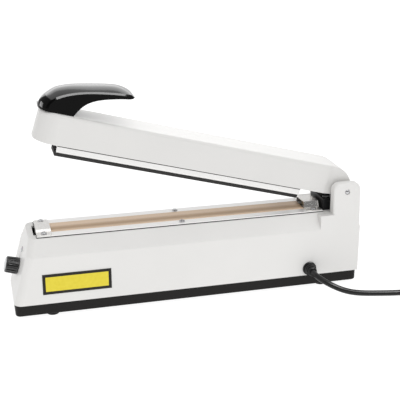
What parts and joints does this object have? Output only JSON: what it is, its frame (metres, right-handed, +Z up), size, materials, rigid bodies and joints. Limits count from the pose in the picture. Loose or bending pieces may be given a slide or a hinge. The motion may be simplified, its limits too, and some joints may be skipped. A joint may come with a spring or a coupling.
{
  "type": "impulse heat sealer",
  "caption": "Tabletop impulse bag sealer with an off-white sloped housing, a long hinged press arm with a black hook handle, a tan covered sealing rail, a timer knob and a mains lead",
  "frame": {"origin": "under the middle of the machine on the plane of its feet, the lead left out", "axes": "+X from the timer knob to the hinge, +Y to the back, +Z up; the arm stands open"},
  "size_m": [0.627, 0.1473, 0.2632],
  "materials": {
    "white_enamel": "satin stove enamel, off white",
    "black_tray": "matt black paint",
    "rubber_black": "matt black rubber and PVC",
    "plated_steel": "bright plated steel",
    "aluminium_bar": "plain extruded aluminium",
    "badge_film": "printed film label, left bare of lettering",
    "tan_cover": "coated glass cloth, tan",
    "insulation_white": "woven insulation tape",
    "resistance_wire": "flat resistance ribbon",
    "brass_parts": "plain brass",
    "black_plastic": "matt black moulding",
    "gloss_black": "gloss black moulding",
    "grey_lamp": "grey clear lens",
    "nylon_white": "natural nylon",
    "core_iron": "varnished iron laminations",
    "copper_winding": "enamelled copper winding",
    "board_green": "green circuit board"
  },
  "bodies": {
    "base": {"base_housing": "white_enamel", "badge_plate": "badge_film", "bottom_tray": "black_tray", "rubber_feet": "rubber_black", "foot_screws": "plated_steel", "foot_nuts": "plated_steel", "sealing_rail": "aluminium_bar", "insulation_strip": "insulation_white", "heating_element": "resistance_wire", "ptfe_cover": "tan_cover", "element_terminals": "brass_parts", "end_clip_left": "plated_steel", "end_clip_right": "plated_steel", "clip_screws": "plated_steel", "rail_screws": "plated_steel", "timer_potentiometer": "black_plastic", "indicator_lamp": "grey_lamp", "hinge_pin": "plated_steel", "spring_box": "black_plastic", "return_springs": "plated_steel", "transformer_core": "core_iron", "transformer_winding": "copper_winding", "timer_board": "board_green", "board_standoffs": "plated_steel", "board_relay": "black_plastic", "triac_heatsink": "aluminium_bar", "micro_switch": "black_plastic", "switch_bracket": "plated_steel", "cable_gland": "rubber_black", "power_cord": "rubber_black", "cord_coil": "rubber_black", "plug_body": "rubber_black", "plug_pins": "brass_parts", "cord_tie": "black_plastic"},
    "knob": {"time_knob": "black_plastic", "knob_cap": "aluminium_bar", "knob_shaft": "plated_steel"},
    "arm": {"arm_housing": "white_enamel", "pivot_bushes": "nylon_white", "spring_seat": "nylon_white", "pressing_bar": "aluminium_bar", "silicone_strip": "rubber_black", "bar_posts": "aluminium_bar", "handle": "gloss_black", "handle_screws": "plated_steel"},
    "plunger": {"switch_plunger": "nylon_white"}
  },
  "joints": [
    {"name": "arm_hinge", "type": "hinge", "parent": "base", "child": "arm", "pos_m": [0.19647, 0, 0.12], "axis": [0, -1, 0], "range_deg": [0, 14.7], "stiffness_Nm_per_rad": 3, "springref_deg": -60.16, "deforming": ["return_springs"]},
    {"name": "knob_turn", "type": "hinge", "parent": "base", "child": "knob", "pos_m": [-0.19676, 0, 0.05], "axis": [-0.9616, 0, 0.2744], "range_deg": [0, 270]},
    {"name": "plunger_slide", "type": "slide", "parent": "base", "child": "plunger", "axis": [0, 0, -1], "range_m": [0, 0.0035]}
  ],
  "couplings": [
    {"joint": "plunger_slide", "follows": "arm_hinge", "m_per_rad": 0.0136}
  ]
}
